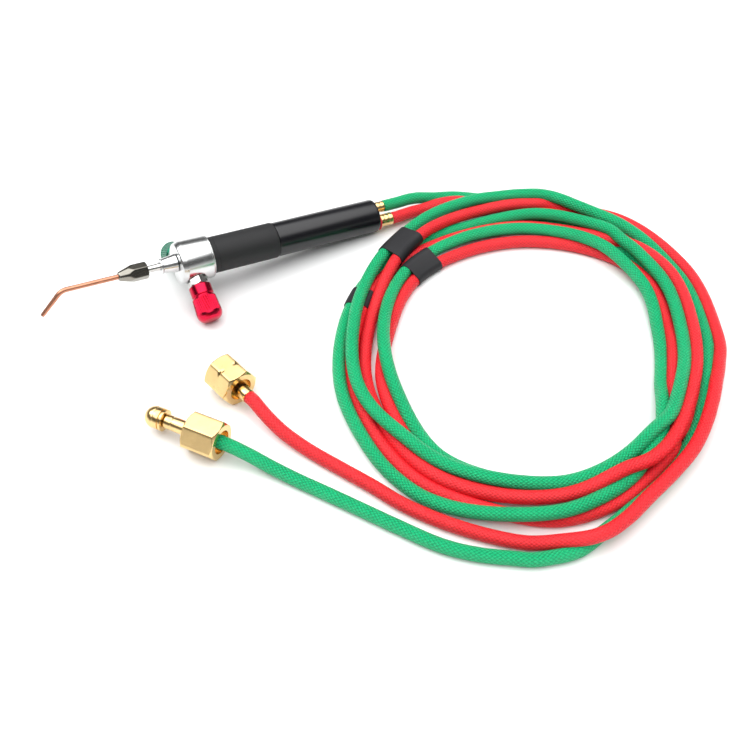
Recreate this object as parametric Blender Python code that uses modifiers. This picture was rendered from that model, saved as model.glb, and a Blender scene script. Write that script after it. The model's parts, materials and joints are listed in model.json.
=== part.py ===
"""Lampwork torch with a bent copper tip and a coiled pair of braided hoses."""

import math

import bmesh
import bpy
from mathutils import Matrix, Vector

MM = 0.001
CAP_WELD = 1e-6

# Torch pose: it rests on its two knobs and on the rear rim of the handle.
VALVE_X = -18.78
KNOB_SPREAD = math.radians(120.0)
REST_RADIUS = 9.1
REST_STATION = 107.0
SETTLE = 0.046

# Head, nose and tip, measured along the torch axis from the valve station.
HEAD_RADIUS = 11.3
HEAD_FACE_RADIUS = 10.3
HEAD_FRONT = -7.4
HEAD_CHAMFER = -4.6
HEAD_REAR = 10.0
SPIGOT_RADIUS = 7.5
SPIGOT_END = 16.0
NOSE_RISE = 0.8
TIP_TUBE_RADIUS = 1.3
TIP_TUBE_WALL = 0.7
TIP_TUBE_START = -32.4
TIP_CORNER = -67.0
TIP_BEND = math.radians(46.0)
TIP_ROLL = math.radians(8.0)
TIP_BEND_RADIUS = 6.0
TIP_END_LENGTH = 16.0
TIP_NUT_FLATS = 7.8

# Valves, measured outward from the torch axis.
PACKING_NUT_FLATS = 9.0
KNOB_START = 14.6
KNOB_END = 34.0
KNOB_SCREW_AT = 17.4
KNOB_PROFILE = [
    (KNOB_START, 5.4), (15.0, 5.8), (20.0, 5.8), (20.3, 5.3), (21.0, 5.3), (21.4, 6.2),
    (30.2, 6.7), (31.5, 6.4), (32.8, 5.6), (33.6, 4.4), (KNOB_END, 3.0),
]

# Handle.
HANDLE_BORE = 7.8
HANDLE_SLEEVE_SEAT = 8.4
HANDLE_RADIUS = 9.1
HANDLE_START = 10.4
HANDLE_STEP = 47.5
HANDLE_END = 108.2
GRIP_BORE = 8.7
GRIP_RADIUS = 9.5
GRIP_END = 47.2

# Gas lines: (across, up) places of the oxygen and fuel lines in the torch.
GAS_TUBE_RADIUS = 1.0
FRONT_LINES = {"oxygen": (5.2, -2.4), "fuel": (-5.2, -2.4)}
REAR_LINES = {"oxygen": (4.1, 1.6), "fuel": (-4.1, -1.4)}

# Hoses and their end fittings.
HOSE_RADIUS = 3.25
HOSE_SPACING = 15.0
NUT_FLATS = 17.46
NUT_LENGTH = 17.0
HOSE_AT_FITTING = 23.5
FUEL_END = (-31.7, -66.8)
FUEL_HEADING = math.radians(-76.3)
OXYGEN_END = (-72.5, -76.05)
OXYGEN_HEADING = math.radians(-53.5)
OXYGEN_NUT_BACK = 23.7

# Routes of the free stretches of hose, as x, y, z.
GREEN_START_ROUTE = [(107.0, 4.0, 8.7), (117.9, 3.8, 8.0)]
RED_START_ROUTE = [(107.5, -3.7, 5.6), (118.2, -3.3, 4.8)]
GREEN_END_ROUTE = [
    (47.2, -226.2, 3.4), (37.9, -221.1, 3.4), (24.4, -211.6, 3.4), (13.0, -200.1, 3.4),
    (1.6, -183.2, 3.4), (-9.8, -165.2, 3.4), (-21.5, -147.0, 3.8), (-33.2, -129.9, 5.8),
    (-40.5, -119.6, 7.6),
]
RED_END_ROUTE = [
    (51.0, -220.6, 3.4), (42.3, -214.3, 3.4), (30.3, -202.6, 3.4), (19.3, -189.4, 3.4),
    (9.6, -174.6, 3.4), (2.4, -159.4, 3.4), (-5.7, -143.7, 3.4), (-12.9, -129.6, 3.6),
    (-19.2, -116.0, 4.8), (-23.0, -104.5, 6.9),
]

# Coil of hose: centre, height, and its outline as (angle, radius).
COIL_CENTRE = (124.6, -112.5)
COIL_HEIGHT = 13.0
OUTLINE_SPACING = 11.0
COIL_EAST = [
    (93, 120), (87, 117.5), (80, 114.5), (70, 110), (60, 106), (45, 101), (30, 97), (15, 94),
    (0, 92), (-15, 89), (-30, 88), (-45, 89), (-60, 92), (-75, 101), (-90, 112), (-100, 121),
    (-108, 130), (-116, 137.5), (-124, 141.8),
]
COIL_WEST = [
    (-124, 124), (-134, 124.5), (-146, 123.5), (-157, 123.5), (-168, 121), (-180, 115),
    (-190, 110), (-203, 105), (-215, 102), (-224, 99), (-236, 96), (-245, 96), (-256, 98.5),
    (-267, 101),
]
COIL_INNER = [
    (90, 64), (60, 62), (30, 62), (0, 58), (-30, 54), (-60, 62), (-90, 81), (-120, 96),
    (-150, 94), (-165, 88), (-180, 81), (-195, 76), (-210, 71), (-225, 69), (-240, 67),
    (-255, 64), (-270, 64),
]

# Tape bands lying on the coil: centre x, y, heading, length, width.
TAPES = {
    "tape_band_1": (96.0, -29.8, 21.0, 22.0, 11.0),
    "tape_band_2": (90.0, -47.2, 27.0, 22.0, 9.0),
    "tape_band_3": (56.5, -50.5, 47.0, 12.0, 12.0),
}
TAPE_THICKNESS = 0.8
TAPE_GAP = 0.3

FINISHES = {
    "copper": ((0.72, 0.33, 0.18), 1.0, 0.28),
    "brass": ((0.83, 0.62, 0.25), 1.0, 0.28),
    "aluminium": ((0.80, 0.81, 0.82), 1.0, 0.2),
    "nickel": ((0.66, 0.65, 0.62), 1.0, 0.25),
    "steel": ((0.35, 0.35, 0.36), 1.0, 0.35),
    "red_anodised": ((0.55, 0.02, 0.06), 0.9, 0.3),
    "green_anodised": ((0.01, 0.25, 0.09), 0.9, 0.3),
    "black_grip": ((0.02, 0.02, 0.02), 0.0, 0.7),
    "black_lacquer": ((0.015, 0.015, 0.015), 0.0, 0.3),
    "black_rubber": ((0.02, 0.02, 0.02), 0.0, 0.6),
    "red_rubber": ((0.6, 0.02, 0.03), 0.0, 0.5),
    "green_braid": ((0.0, 0.45, 0.2), 0.0, 0.6),
    "red_braid": ((0.65, 0.02, 0.03), 0.0, 0.6),
    "black_tape": ((0.025, 0.025, 0.025), 0.0, 0.5),
}


def clear_scene():
    for item in list(bpy.data.objects):
        bpy.data.objects.remove(item, do_unlink=True)


def place(name, data, parent, at=(0, 0, 0), turn=(0, 0, 0), group=None):
    """Object with a place and a turn in its parent, distances in millimetres."""
    obj = bpy.data.objects.new(name, data)
    home = group or pieces
    home.objects.link(obj)
    obj.parent = parent
    obj.location = [value * MM for value in at]
    obj.rotation_euler = turn
    return obj


def finish(obj, look):
    colour, metallic, roughness = FINISHES[look]
    material = bpy.data.materials.new(obj.name + "_" + look)
    material.use_nodes = True
    shader = material.node_tree.nodes["Principled BSDF"]
    shader.inputs["Base Color"].default_value = (*colour, 1.0)
    shader.inputs["Metallic"].default_value = metallic
    shader.inputs["Roughness"].default_value = roughness
    obj.data.materials.append(material)
    return obj


def turned(name, parent, outer, bore=(), steps=32, **where):
    """Turned piece: outer and bore list (along, radius) from front to rear."""
    loop = [(radius, along) for along, radius in reversed(outer)]
    if bore:
        loop += [(radius, along) for along, radius in bore]
    else:
        loop = [(0.0, loop[0][1])] + loop + [(0.0, loop[-1][1])]
    count = len(loop)
    edges = [(i, i + 1) for i in range(count - 1)]
    if bore:
        edges.append((count - 1, 0))
    mesh = bpy.data.meshes.new(name)
    mesh.from_pydata([(r * MM, 0.0, a * MM) for r, a in loop], edges, [])
    obj = place(name, mesh, parent, **where)
    screw = obj.modifiers.new("Turned", "SCREW")
    screw.steps = steps
    screw.render_steps = steps
    screw.use_merge_vertices = True
    screw.merge_threshold = 1e-5
    screw.use_smooth_shade = True
    return obj


def primitive(name, parent, work, **where):
    """Object holding a primitive made in a work mesh."""
    mesh = bpy.data.meshes.new(name)
    work.to_mesh(mesh)
    work.free()
    return place(name, mesh, parent, **where)


def hex_bar(name, parent, flats, low, high):
    """Hexagonal bar with one flat facing local +X."""
    work = bmesh.new()
    radius = flats / math.sqrt(3.0) * MM
    middle = Matrix.Translation((0.0, 0.0, (low + high) / 2 * MM))
    bmesh.ops.create_cone(work, cap_ends=True, segments=6, radius1=radius, radius2=radius,
                          depth=(high - low) * MM, matrix=middle)
    return primitive(name, parent, work)


def combine(target, cutter, operation="DIFFERENCE"):
    cutter.hide_render = True
    cutter.display_type = "WIRE"
    modifier = target.modifiers.new(cutter.name, "BOOLEAN")
    modifier.operation = operation
    modifier.solver = "EXACT"
    modifier.object = cutter


def cutting_tool(name, parent, outer, bore=(), **where):
    return turned(name, parent, outer, bore, group=cutters, **where)


def smooth_route(route, spacing):
    """Points about equally spaced on a smooth curve through the route."""
    points = [Vector(p) for p in route]
    first = points[0] * 2 - points[1]
    last = points[-1] * 2 - points[-2]
    padded = [first] + points + [last]
    fine = []
    for i in range(1, len(padded) - 2):
        a, b, c, d = padded[i - 1:i + 3]
        for step in range(24):
            t = step / 24
            bend = (2 * a - 5 * b + 4 * c - d) * t * t + (3 * b - a - 3 * c + d) * t ** 3
            fine.append(0.5 * (2 * b + (c - a) * t + bend))
    fine.append(points[-1])
    lengths = [0.0]
    for a, b in zip(fine, fine[1:]):
        lengths.append(lengths[-1] + (b - a).length)
    count = max(2, round(lengths[-1] / spacing))
    read = [fine[0]]
    at = 0
    for i in range(1, count):
        target = lengths[-1] * i / count
        while lengths[at + 1] < target:
            at += 1
        share = (target - lengths[at]) / (lengths[at + 1] - lengths[at])
        read.append(fine[at].lerp(fine[at + 1], share))
    return read + [fine[-1]]


def add_spline(curve, points, closed=False):
    spline = curve.splines.new("POLY")
    spline.points.add(len(points) - 1)
    for knot, point in zip(spline.points, points):
        knot.co = [value * MM for value in point] + [1.0]
    spline.use_cyclic_u = closed
    return spline


def rod(name, parent, points, radius, resolution=2, caps=True):
    """Round bar along points."""
    curve = bpy.data.curves.new(name, "CURVE")
    curve.dimensions = "3D"
    curve.bevel_depth = radius * MM
    curve.bevel_resolution = resolution
    curve.use_fill_caps = caps
    add_spline(curve, points)
    return place(name, curve, parent)


def curve_to_mesh(obj):
    """Same shape as a welded mesh, in the same place."""
    name = obj.name
    obj.name = name + "_curve"
    bpy.context.view_layer.update()
    solved = obj.evaluated_get(bpy.context.evaluated_depsgraph_get())
    mesh = bpy.data.meshes.new_from_object(solved)
    work = bmesh.new()
    work.from_mesh(mesh)
    bmesh.ops.remove_doubles(work, verts=work.verts, dist=CAP_WELD)
    work.to_mesh(mesh)
    work.free()
    mesh.shade_smooth()
    solid = place(name, mesh, obj.parent)
    solid.matrix_world = obj.matrix_world.copy()
    bpy.data.objects.remove(obj, do_unlink=True)
    return solid


def torch_point(station, across, up):
    """Room position of a place in the torch."""
    return (
        VALVE_X + station * math.cos(TILT) + up * math.sin(TILT),
        across,
        HEAD_HEIGHT - station * math.sin(TILT) + up * math.cos(TILT),
    )


def end_point(tip, heading, along):
    """Point on the axis of a hose end, measured from its nose."""
    x, y = tip
    return (x + along * math.cos(heading), y + along * math.sin(heading), NUT_FLATS / 2)


def polar(angle, radius):
    turn = math.radians(angle)
    return (COIL_CENTRE[0] + radius * math.cos(turn), COIL_CENTRE[1] + radius * math.sin(turn), 0)


def make_head():
    body = turned("head_body", torch_axis, [
        (HEAD_FRONT, HEAD_FACE_RADIUS), (HEAD_CHAMFER, HEAD_RADIUS), (HEAD_REAR, HEAD_RADIUS),
        (HEAD_REAR, SPIGOT_RADIUS), (SPIGOT_END, SPIGOT_RADIUS),
    ], steps=48)
    finish(body, "aluminium")
    socket = cutting_tool("nose_socket", nose_axis, [(-8.5, 3.3), (-4.4, 3.3)])
    combine(body, socket)
    chamber = cutting_tool("mixing_bore", nose_axis, [(-5.0, 1.9), (1.0, 1.9)], steps=24)
    combine(body, chamber)
    for valve in valves.values():
        well = cutting_tool(valve.name + "_well", valve, [
            (0.5, 0.8), (4.1, 0.8), (4.1, 2.2), (7.0, 2.2), (7.0, 3.3), (10.2, 3.3),
            (10.2, 5.6), (13.0, 5.6),
        ])
        combine(body, well)
    for gas, (across, up) in FRONT_LINES.items():
        bore = cutting_tool(gas + "_line_bore", torch_axis, [(0.7, 1.3), (17.0, 1.3)],
                            steps=20, at=(-up, across, 0))
        combine(body, bore)
    insert = turned("mixer_insert", nose_axis, [(-4.2, 1.6), (-1.2, 1.6)],
                    [(-4.2, 0.6), (-1.2, 0.6)], steps=20)
    finish(insert, "brass")


def make_nose():
    cone = turned("nose_cone", nose_axis, [
        (-16.2, 4.1), (-15.4, 4.1), (-15.4, 3.7), (-7.7, 4.8), (-7.7, 3.0), (-4.7, 3.0),
    ], [(-16.2, 2.2), (-11.0, 2.2), (-11.0, 1.0), (-4.7, 1.0)])
    finish(cone, "aluminium")
    neck = turned("neck_tube", nose_axis, [(-31.9, 2.7), (-24.0, 2.7), (-24.0, 1.9), (-11.4, 1.9)],
                  [(-31.9, 0.9), (-11.4, 0.9)], steps=24)
    finish(neck, "nickel")
    nut = hex_bar("tip_nut", nose_axis, TIP_NUT_FLATS, -38.2, -23.2)
    shape = cutting_tool("tip_nut_shape", nose_axis, [
        (-39.0, 1.98), (-30.4, 4.6), (-23.7, 4.6), (-22.9, 3.8),
    ])
    combine(nut, shape, "INTERSECT")
    bore = cutting_tool("tip_nut_bore", nose_axis, [
        (-39.0, 1.6), (-34.4, 1.6), (-34.4, 3.0), (-22.0, 3.0),
    ], steps=24)
    combine(nut, bore)
    finish(nut, "nickel")


def make_tip():
    collar = turned("tip_collar", nose_axis, [(-34.1, 2.7), (-32.2, 2.7)],
                    [(-34.1, 1.6), (-32.2, 1.6)], steps=24)
    finish(collar, "copper")
    side = Vector((math.cos(TIP_ROLL), -math.sin(TIP_ROLL), 0.0))
    ahead = Vector((0.0, 0.0, -1.0))
    lead = TIP_BEND_RADIUS * math.tan(TIP_BEND / 2)
    start = ahead * (-TIP_CORNER - lead)
    points = [ahead * -TIP_TUBE_START]
    for i in range(7):
        turn = TIP_BEND * i / 6
        offset = side * (1 - math.cos(turn)) + ahead * math.sin(turn)
        points.append(start + offset * TIP_BEND_RADIUS)
    heading = side * math.sin(TIP_BEND) + ahead * math.cos(TIP_BEND)
    points.append(ahead * -TIP_CORNER + heading * TIP_END_LENGTH)
    curve = rod("tip_tube", nose_axis, points, TIP_TUBE_RADIUS, 4, caps=False)
    curve.data.splines[0].points[-1].radius = 0.82
    tube = curve_to_mesh(curve)
    wall = tube.modifiers.new("Wall", "SOLIDIFY")
    wall.thickness = TIP_TUBE_WALL * MM
    wall.offset = -1.0
    wall.use_even_offset = True
    finish(tube, "copper")


def make_valve(colour, screw_side):
    valve = valves[colour]
    nut = hex_bar(colour + "_packing_nut", valve, PACKING_NUT_FLATS, 10.5, 14.1)
    shape = cutting_tool(colour + "_packing_shape", valve, [
        (10.1, 5.3), (13.5, 5.3), (14.4, 4.4),
    ])
    combine(nut, shape, "INTERSECT")
    spigot = cutting_tool(colour + "_packing_spigot", valve, [(7.3, 3.0), (11.0, 3.0)], steps=24)
    combine(nut, spigot, "UNION")
    bore = cutting_tool(colour + "_packing_bore", valve, [
        (7.0, 2.4), (10.2, 2.4), (10.2, 1.8), (15.0, 1.8),
    ], steps=24)
    combine(nut, bore)
    finish(nut, "nickel")

    stem = turned(colour + "_valve_stem", valve, [
        (3.4, 0.35), (5.6, 1.5), (7.4, 1.5), (7.4, 1.1), (8.8, 1.1), (8.8, 1.5), (27.0, 1.5),
    ], steps=20)
    finish(stem, "steel")
    ring = [math.radians(-45 * i) for i in range(8)]
    section = [(8.1 + 0.42 * math.sin(a), 1.76 + 0.42 * math.cos(a)) for a in ring]
    seal = turned(colour + "_stem_o_ring", valve, section[:1], section[1:], steps=24)
    finish(seal, "black_rubber")

    knob = turned(colour + "_valve_knob", valve, KNOB_PROFILE, steps=40)
    bore = cutting_tool(colour + "_knob_bore", valve, [(14.0, 1.8), (28.0, 1.8)], steps=24)
    combine(knob, bore)
    aside = (math.radians(-90.0 * screw_side), 0, 0)
    hole = cutting_tool(colour + "_screw_hole", valve, [(1.0, 1.1), (7.0, 1.1)], steps=20,
                        at=(0, 0, KNOB_SCREW_AT), turn=aside)
    combine(knob, hole)
    finish(knob, colour + "_anodised")
    screw = turned(colour + "_knob_screw", valve, [(1.9, 0.5), (2.2, 0.8), (5.3, 0.8)], steps=20,
                   at=(0, 0, KNOB_SCREW_AT), turn=aside)
    finish(screw, "steel")


def make_handle():
    tube = turned("handle_tube", torch_axis, [
        (HANDLE_START, HANDLE_SLEEVE_SEAT), (HANDLE_STEP, HANDLE_SLEEVE_SEAT),
        (HANDLE_STEP, HANDLE_RADIUS), (REST_STATION, HANDLE_RADIUS), (107.8, 8.9),
        (HANDLE_END, 8.5),
    ], [(HANDLE_START, HANDLE_BORE), (HANDLE_END, HANDLE_BORE)], steps=48)
    finish(tube, "black_lacquer")
    grip = turned("grip_sleeve", torch_axis, [
        (HANDLE_START, 9.2), (HANDLE_START + 0.4, GRIP_RADIUS), (GRIP_END - 0.4, GRIP_RADIUS),
        (GRIP_END, 9.2),
    ], [(HANDLE_START, GRIP_BORE), (GRIP_END, GRIP_BORE)], steps=48)
    finish(grip, "black_grip")
    plug = turned("rear_plug", torch_axis, [(102.6, 7.5), (106.6, 7.5)], steps=48)
    for gas, (across, up) in REAR_LINES.items():
        hole = cutting_tool(gas + "_plug_hole", torch_axis, [(102.0, 2.1), (107.0, 2.1)],
                            steps=24, at=(-up, across, 0))
        combine(plug, hole)
    finish(plug, "black_rubber")


def make_gas_line(gas, ferrule_start, ferrule_end, ferrule_radius):
    front_across, front_up = FRONT_LINES[gas]
    across, up = REAR_LINES[gas]
    middle = ((front_across + across) / 2, (front_up + up) / 2)
    route = [
        (2.6, front_across, front_up), (20.0, front_across, front_up), (55.0, *middle),
        (90.0, across, up), (99.1, across, up),
    ]
    points = [Vector(route[0])] + smooth_route(route[1:4], 12.0) + [Vector(route[4])]
    tube = rod(gas + "_tube", torch, points, GAS_TUBE_RADIUS)
    finish(tube, "copper")

    place_on_axis = (-up, across, 0)
    profile = [(99.4, 1.8), (106.9, 1.8), (106.9, 2.9), (108.3, 2.9), (108.3, 1.8)]
    ridge = ferrule_end - 7.0
    while ridge < ferrule_end - 1.0:
        profile += [(ridge, 1.8), (ridge, 2.2), (ridge + 1.6, 1.8)]
        ridge += 2.2
    profile.append((ferrule_end - 0.3, 1.8))
    barb = turned(gas + "_barb", torch_axis, profile, [(99.4, 0.8), (ferrule_end - 0.3, 0.8)],
                  steps=24, at=place_on_axis)
    finish(barb, "brass")
    ferrule = turned(gas + "_ferrule", torch_axis, [
        (ferrule_start, ferrule_radius - 0.3), (ferrule_start + 0.4, ferrule_radius),
        (ferrule_end - 0.4, ferrule_radius), (ferrule_end, ferrule_radius - 0.3),
    ], [(ferrule_start, 2.5), (ferrule_end, 2.5)], steps=24, at=place_on_axis)
    finish(ferrule, "brass")
    if gas == "fuel":
        marker = turned("fuel_marker_ring", torch_axis, [(108.6, 4.6), (109.5, 4.6)],
                        [(108.6, 2.2), (109.5, 2.2)], steps=24, at=place_on_axis)
        finish(marker, "red_rubber")


def make_hose_end(gas, nut_start, notched):
    axis = hose_ends[gas]
    ball = []
    for i in range(7):
        turn = math.radians(15 * i)
        ball.append((5.3 - 5.3 * math.cos(turn), max(1.1, 5.3 * math.sin(turn))))
    nipple = turned(gas + "_nipple", axis, ball + [
        (8.6, 5.3), (8.6, 4.6), (9.4, 4.6), (9.4, 5.3), (10.5, 5.3), (10.5, 2.0), (22.9, 2.0),
    ], [(0.115, 1.1), (22.9, 1.1)])
    finish(nipple, "brass")
    ferrule = turned(gas + "_end_ferrule", axis, [
        (10.9, 3.2), (11.3, 3.5), (22.8, 3.5), (23.2, 3.2),
    ], [(10.9, 2.4), (23.2, 2.4)], steps=24)
    finish(ferrule, "brass")
    low = nut_start
    high = nut_start + NUT_LENGTH
    nut = hex_bar(gas + "_nut", axis, NUT_FLATS, low, high)
    shape = cutting_tool(gas + "_nut_shape", axis, [
        (low - 0.5, 8.3), (low + 1.2, 10.2), (high - 1.2, 10.2), (high + 0.5, 8.3),
    ], steps=48)
    combine(nut, shape, "INTERSECT")
    bore = cutting_tool(gas + "_nut_bore", axis, [
        (low - 1.0, 6.5), (low + 10.8, 6.5), (low + 10.8, 3.8), (low + 13.0, 3.8),
        (low + 13.0, 5.8), (high + 1.0, 5.8),
    ])
    combine(nut, bore)
    if notched:
        middle = (low + high) / 2
        notch = cutting_tool(gas + "_nut_notch", axis, [(middle - 1.7, 10.8), (middle + 1.7, 10.8)],
                             [(middle, 9.1)], steps=48)
        combine(nut, notch)
    finish(nut, "brass")


def make_hoses():
    starts = {
        "green_hose_start": ("oxygen", 116.5, GREEN_START_ROUTE),
        "red_hose_start": ("fuel", 117.9, RED_START_ROUTE),
    }
    for name, (gas, station, route) in starts.items():
        across, up = REAR_LINES[gas]
        begin = [torch_point(station, across, up), torch_point(station + 3.0, across, up)]
        hose = rod(name, None, smooth_route(begin + route, 7.0), HOSE_RADIUS)
        finish(hose, name.split("_")[0] + "_braid")
    ends = {
        "green_hose_end": (OXYGEN_END, OXYGEN_HEADING, GREEN_END_ROUTE, 43.0),
        "red_hose_end": (FUEL_END, FUEL_HEADING, RED_END_ROUTE, 27.0),
    }
    for name, (tip, heading, route, straight_from) in ends.items():
        bent = smooth_route(route + [end_point(tip, heading, straight_from)], HOSE_SPACING)
        points = bent + [Vector(end_point(tip, heading, HOSE_AT_FITTING))]
        hose = rod(name, None, points, HOSE_RADIUS)
        finish(hose, name.split("_")[0] + "_braid")


def make_coil():
    curve = bpy.data.curves.new("hose_coil", "CURVE")
    curve.dimensions = "2D"
    curve.fill_mode = "BOTH"
    curve.extrude = COIL_HEIGHT / 2 * MM
    outer = smooth_route([polar(*p) for p in COIL_EAST], OUTLINE_SPACING)
    outer += smooth_route([polar(*p) for p in COIL_WEST], OUTLINE_SPACING)
    inner = smooth_route([polar(*p) for p in COIL_INNER], OUTLINE_SPACING)
    add_spline(curve, outer, closed=True)
    add_spline(curve, inner[:-1], closed=True)
    coil = curve_to_mesh(place("hose_coil", curve, None, at=(0, 0, COIL_HEIGHT / 2)))
    coil.data.shade_flat()
    finish(coil, "red_braid")


def make_tapes():
    middle = COIL_HEIGHT + TAPE_GAP + TAPE_THICKNESS / 2
    for name, (x, y, heading, length, width) in TAPES.items():
        work = bmesh.new()
        size = Matrix.Diagonal((length * MM, width * MM, TAPE_THICKNESS * MM, 1.0))
        bmesh.ops.create_cube(work, size=1.0, matrix=size)
        band = primitive(name, None, work, at=(x, y, middle), turn=(0, 0, math.radians(heading)))
        finish(band, "black_tape")


KNOB_DROP = max(along * 0.5 + radius * math.cos(math.radians(30)) for along, radius in KNOB_PROFILE)
TILT = math.atan2(KNOB_DROP - REST_RADIUS, REST_STATION)
HEAD_HEIGHT = KNOB_DROP * math.cos(TILT) + SETTLE

clear_scene()
pieces = bpy.data.collections.new("lampwork_torch")
cutters = bpy.data.collections.new("cutters")
for collection in (pieces, cutters):
    bpy.context.scene.collection.children.link(collection)
torch = place("torch", None, None, at=(VALVE_X, 0, HEAD_HEIGHT), turn=(0, TILT, 0))
torch_axis = place("torch_axis", None, torch, turn=(0, math.pi / 2, 0))
nose_axis = place("nose_axis", None, torch, at=(0, 0, NOSE_RISE), turn=(0, math.pi / 2, 0))
valves = {
    "red": place("red_valve_axis", None, torch, turn=(KNOB_SPREAD, 0, 0)),
    "green": place("green_valve_axis", None, torch, turn=(-KNOB_SPREAD, 0, 0)),
}
hose_ends = {
    "fuel": place("fuel_end_axis", None, None, at=(*FUEL_END, NUT_FLATS / 2),
                  turn=(0, math.pi / 2, FUEL_HEADING)),
    "oxygen": place("oxygen_end_axis", None, None, at=(*OXYGEN_END, NUT_FLATS / 2),
                    turn=(0, math.pi / 2, OXYGEN_HEADING)),
}

make_head()
make_nose()
make_tip()
make_valve("red", -1)
make_valve("green", 1)
make_handle()
make_gas_line("oxygen", 108.7, 116.2, 3.05)
make_gas_line("fuel", 109.8, 117.6, 3.4)
make_hose_end("fuel", 0.0, True)
make_hose_end("oxygen", OXYGEN_NUT_BACK, False)
make_hoses()
make_coil()
make_tapes()
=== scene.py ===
import json
import math

import bpy
import numpy as np
from mathutils import Matrix, Vector


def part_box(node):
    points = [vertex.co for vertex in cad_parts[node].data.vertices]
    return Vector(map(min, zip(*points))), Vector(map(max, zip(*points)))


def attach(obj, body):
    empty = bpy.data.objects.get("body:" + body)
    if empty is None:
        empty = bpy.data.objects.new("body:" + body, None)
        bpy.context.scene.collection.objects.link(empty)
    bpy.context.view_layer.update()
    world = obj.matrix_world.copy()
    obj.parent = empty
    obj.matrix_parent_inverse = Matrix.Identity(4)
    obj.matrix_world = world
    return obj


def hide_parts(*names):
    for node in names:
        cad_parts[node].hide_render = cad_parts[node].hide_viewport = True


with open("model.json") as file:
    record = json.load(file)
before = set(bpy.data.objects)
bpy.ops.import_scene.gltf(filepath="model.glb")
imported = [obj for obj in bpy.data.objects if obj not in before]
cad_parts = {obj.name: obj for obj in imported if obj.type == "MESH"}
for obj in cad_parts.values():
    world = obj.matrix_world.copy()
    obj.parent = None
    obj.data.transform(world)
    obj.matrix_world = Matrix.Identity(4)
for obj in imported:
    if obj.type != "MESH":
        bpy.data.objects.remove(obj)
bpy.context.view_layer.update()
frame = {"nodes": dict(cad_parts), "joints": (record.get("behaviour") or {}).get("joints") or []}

MM = 0.001

# Camera.
CAMERA_AT = (-0.1295, -0.4067, 0.3887)
CAMERA_TARGET = (0.0366, -0.0986, 0.0)
CAMERA_LENS = 50.9

# Hoses: 1/4 in braided hose, all places in millimetres.
HOSE_DIAMETER = 6.5
FLOOR_CENTRE = 3.3
CLEARANCE = 6.2
SHIFT_LIMIT = 1.3
COIL_CENTRE = (124.6, -112.5)
COIL_FIRST = 60
COIL_STEP = 30
HOSE_AT_FITTING = 23.5
CURVE_STEPS = 24
ROUTE_SPACING = 3.0
PATH_SPACING = 2.0

# Settling: how many steps, and how hard the hoses push apart, return to their route and sink.
SETTLE_STEPS = 240
SEARCH_EVERY = 20
SEARCH_REACH = 1.6
SAME_STRETCH = 14
PUSH_GAIN = 1.2
SIDEWAYS_KEPT = 0.985
SINK = 0.012
HELD_AT_TORCH = 6
HELD_AT_FITTING = 12
HELD_SOFTNESS = 0.02

# Tape wraps, in millimetres from the hose's surface.
TAPE_STATIONS = 9
TAPE_SIDES = 40
TAPE_OUTSIDE = 0.5
TAPE_INSIDE = 0.05
TAPE_LAP = 0.3
TAPE_LOWEST = 0.05

# Bent tip, in millimetres back from the nose.
TIP_START = 32.4
TIP_CORNER = 67.0
TIP_LAST_LENGTH = 16.0
TIP_BEND_RADIUS = 6.0
TIP_RADIUS = 1.3
TIP_ROLL = math.radians(8.0)
TIP_BEND = math.radians(46.0)

# Union nuts.
NUT_LENGTH = 17.0
NUT_FLATS = 17.46
NUT_THREADS = 9
THREAD_PITCH = 1.1

# Floor and light, in metres.
FLOOR_SIZE = 6.0
FLOOR_MIDDLE = (0.05, -0.1, 0.0)
SOFTBOX_AT = (-0.6, 0.5, 0.9)
SOFTBOX_TARGET = (0.05, -0.05, 0.0)
SOFTBOX_SIZE = 0.5
SOFTBOX_POWER = 3.5
WORLD_STRENGTH = 2.9
WORLD_SHADES = [(0.0, 0.22), (0.12, 0.18), (0.24, 0.035), (0.62, 0.05), (0.78, 1.0)]

# Torch-end and nut-end routes, listed as x, y, z.
GREEN_START = [
    (107.0, 4.0, 8.7), (117.9, 3.8, 8.0), (128.6, 2.2, 5.4), (139.5, -1.0, 3.6), (150.0, -9.5, 3.3),
    (160.5, -21.0, 3.3),
]
RED_START = [
    (107.5, -3.7, 5.6), (118.2, -3.3, 4.8), (128.6, -4.6, 6.4), (139.2, -8.2, 6.8),
    (149.8, -14.0, 4.8), (161.0, -20.5, 3.8),
]
GREEN_END = [
    (182.7, -170.6, 3.3), (167.5, -186.5, 3.3), (148.6, -202.0, 3.3), (125.0, -215.5, 3.3),
    (97.0, -223.8, 3.3), (80.0, -227.6, 3.3), (64.0, -229.5, 3.3), (47.2, -226.2, 3.4),
    (37.9, -221.1, 3.4), (24.4, -211.6, 3.4), (13.0, -200.1, 3.4), (1.6, -183.2, 3.4),
    (-9.8, -165.2, 3.4), (-21.5, -147.0, 3.8), (-33.2, -129.9, 5.8), (-40.5, -119.6, 7.6),
]
RED_END = [
    (186.3, -174.2, 3.6), (173.5, -185.9, 6.0), (155.8, -202.0, 7.5), (140.5, -212.5, 9.0),
    (123.4, -219.4, 9.2), (103.3, -225.5, 9.2), (90.9, -229.5, 9.0), (77.0, -232.0, 8.4),
    (65.0, -229.8, 6.4), (51.0, -220.6, 3.4), (42.3, -214.3, 3.4), (30.3, -202.6, 3.4),
    (19.3, -189.4, 3.4), (9.6, -174.6, 3.4), (2.4, -159.4, 3.4), (-5.7, -143.7, 3.4),
    (-12.9, -129.6, 3.6), (-19.2, -116.0, 4.8), (-23.0, -104.5, 6.9),
]

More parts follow.
